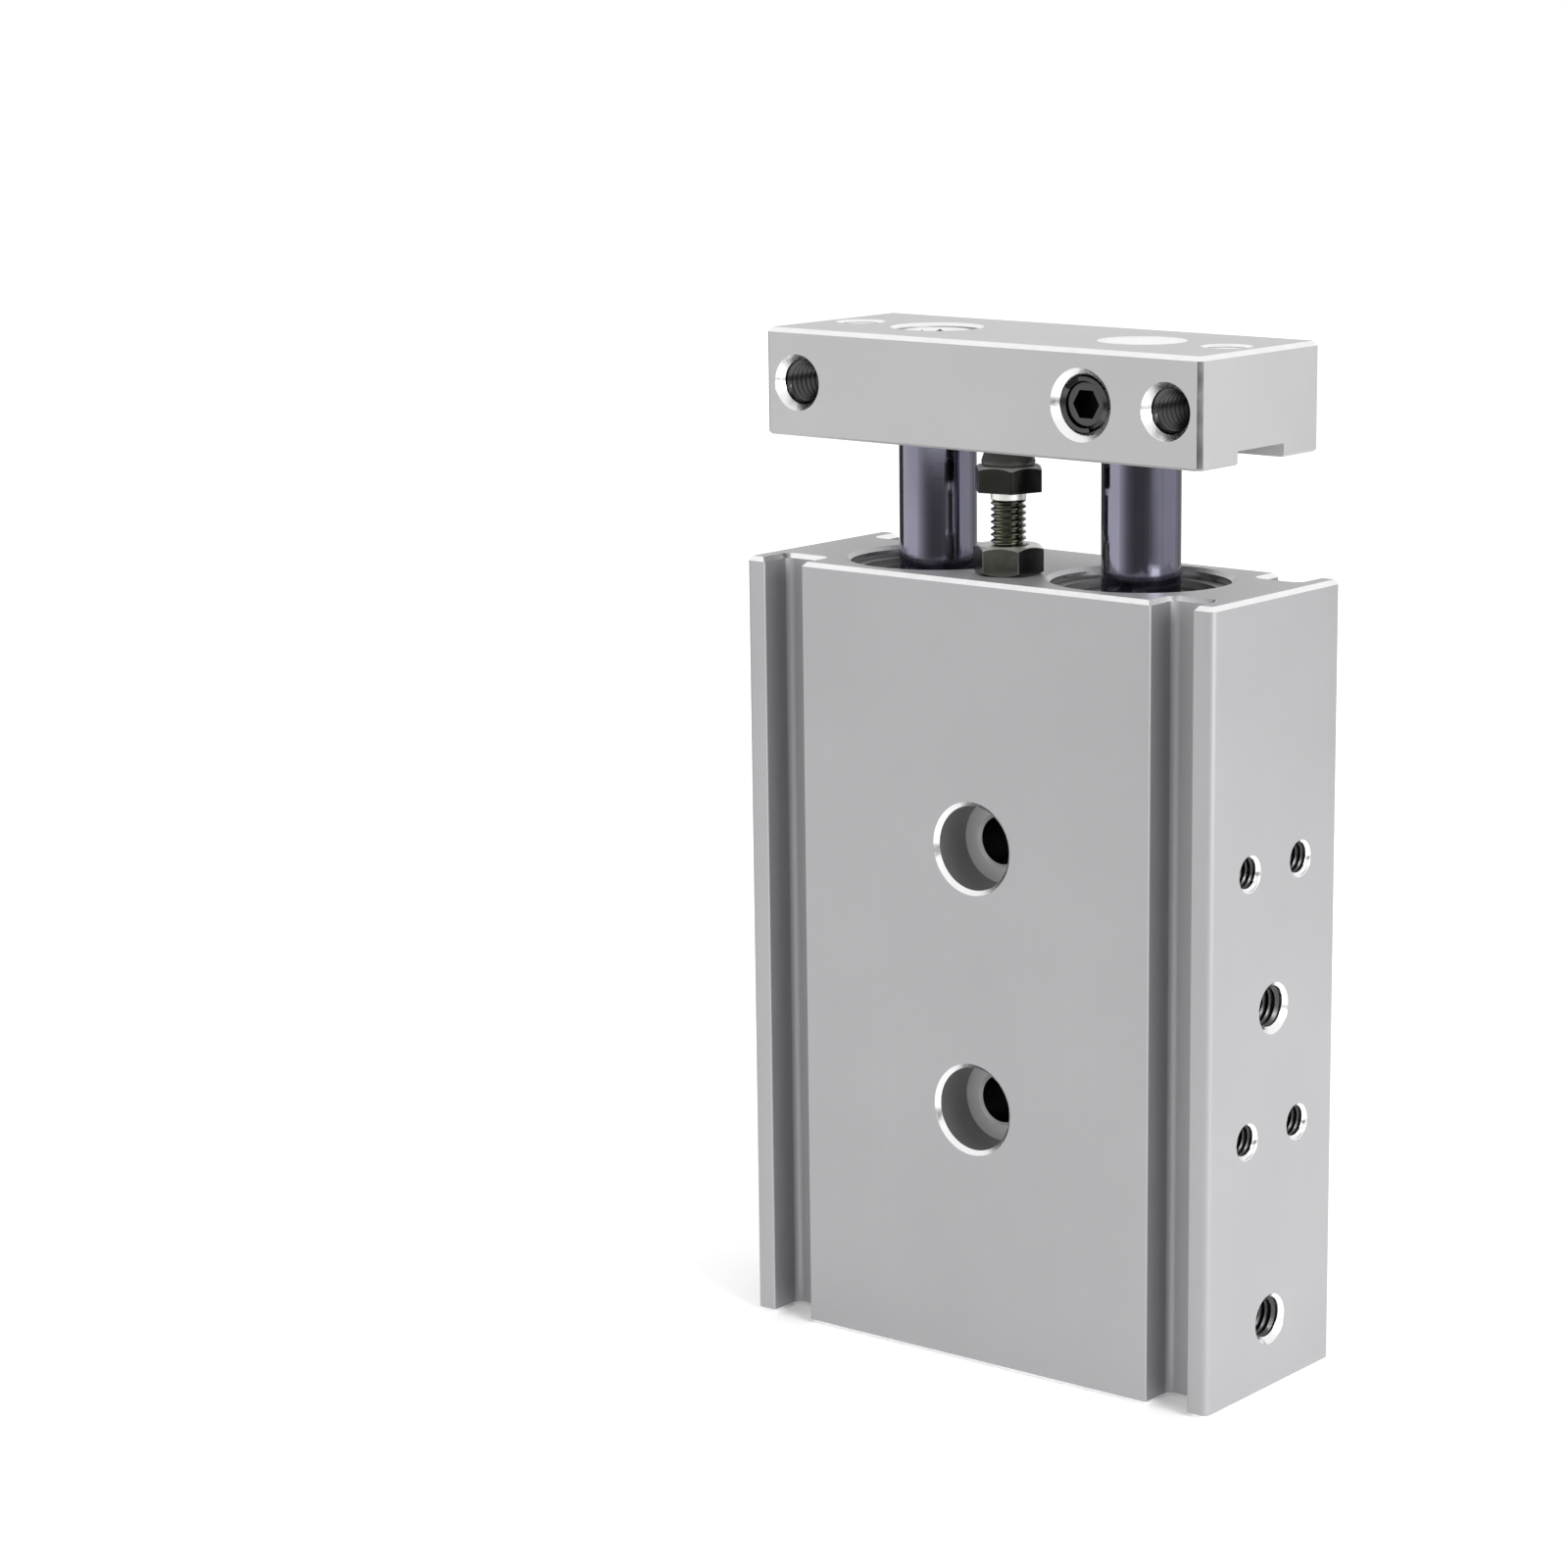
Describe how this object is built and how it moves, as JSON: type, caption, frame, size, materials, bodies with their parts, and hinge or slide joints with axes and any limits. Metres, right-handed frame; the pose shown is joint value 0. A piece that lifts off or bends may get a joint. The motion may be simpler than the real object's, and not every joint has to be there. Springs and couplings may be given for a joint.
{
  "type": "twin rod pneumatic cylinder",
  "caption": "Compact pneumatic cylinder whose paired piston rods share an end plate, with an adjustable stop bolt and sensor grooves along the body.",
  "frame": {"origin": "middle of the body's lower end face, where the head covers close the bores", "axes": "+Z along the stroke, from the body to the end plate; +X to the side with the ports and side threads; +Y to the back, so the counterbores face -Y"},
  "size_m": [0.064, 0.025, 0.116],
  "materials": {
    "body_aluminium": "fine matte anodised grey on an extruded profile",
    "plate_aluminium": "fine matte anodised grey, machined all over",
    "cover_aluminium": "plain turned",
    "retainer_aluminium": "bright turned",
    "piston_aluminium": "plain turned",
    "rod_chrome": "hard chrome, ground and polished",
    "spring_steel": "stamped and phosphated",
    "screw_steel": "nickel plated",
    "stop_bolt_steel": "nickel plated, slightly olive",
    "magnet": "bare sintered",
    "seal_rubber": "matte",
    "urethane": "satin, slightly soft"
  },
  "bodies": {
    "housing": {"body": "body_aluminium", "lock_nut": "stop_bolt_steel", "left_rod_cover": "cover_aluminium", "left_rod_seal": "seal_rubber", "left_seal_retainer": "retainer_aluminium", "left_rod_retaining_ring": "spring_steel", "left_head_cover": "cover_aluminium", "left_head_retaining_ring": "spring_steel", "right_rod_cover": "cover_aluminium", "right_rod_seal": "seal_rubber", "right_seal_retainer": "retainer_aluminium", "right_rod_retaining_ring": "spring_steel", "right_head_cover": "cover_aluminium", "right_head_retaining_ring": "spring_steel"},
    "rods": {"left_piston_rod": "rod_chrome", "right_piston_rod": "rod_chrome", "end_plate": "plate_aluminium", "plate_cap_screw": "screw_steel", "plate_set_screw": "screw_steel", "left_piston": "piston_aluminium", "left_magnet": "magnet", "left_piston_nut": "screw_steel", "right_piston": "piston_aluminium", "right_magnet": "magnet", "right_piston_nut": "screw_steel"},
    "stop_bumper": {"stop_bumper": "urethane"},
    "stop_bolt": {"stop_bolt": "stop_bolt_steel"}
  },
  "joints": [
    {"name": "rod_slide", "type": "slide", "parent": "housing", "child": "rods", "axis": [0, 0, 1], "range_m": [0, 0.02]},
    {"name": "stop_adjust", "type": "slide", "parent": "housing", "child": "stop_bumper", "axis": [0, 0, 1], "range_m": [-0.0025, 0]},
    {"name": "stop_bolt_turn", "type": "hinge", "parent": "stop_bumper", "child": "stop_bolt", "pos_m": [0, -0.0055, 0.1], "axis": [0, 0, 1], "range_deg": [-1286, 0]}
  ],
  "couplings": [
    {"joint": "stop_bolt_turn", "follows": "stop_adjust", "rad_per_m": 8976}
  ]
}
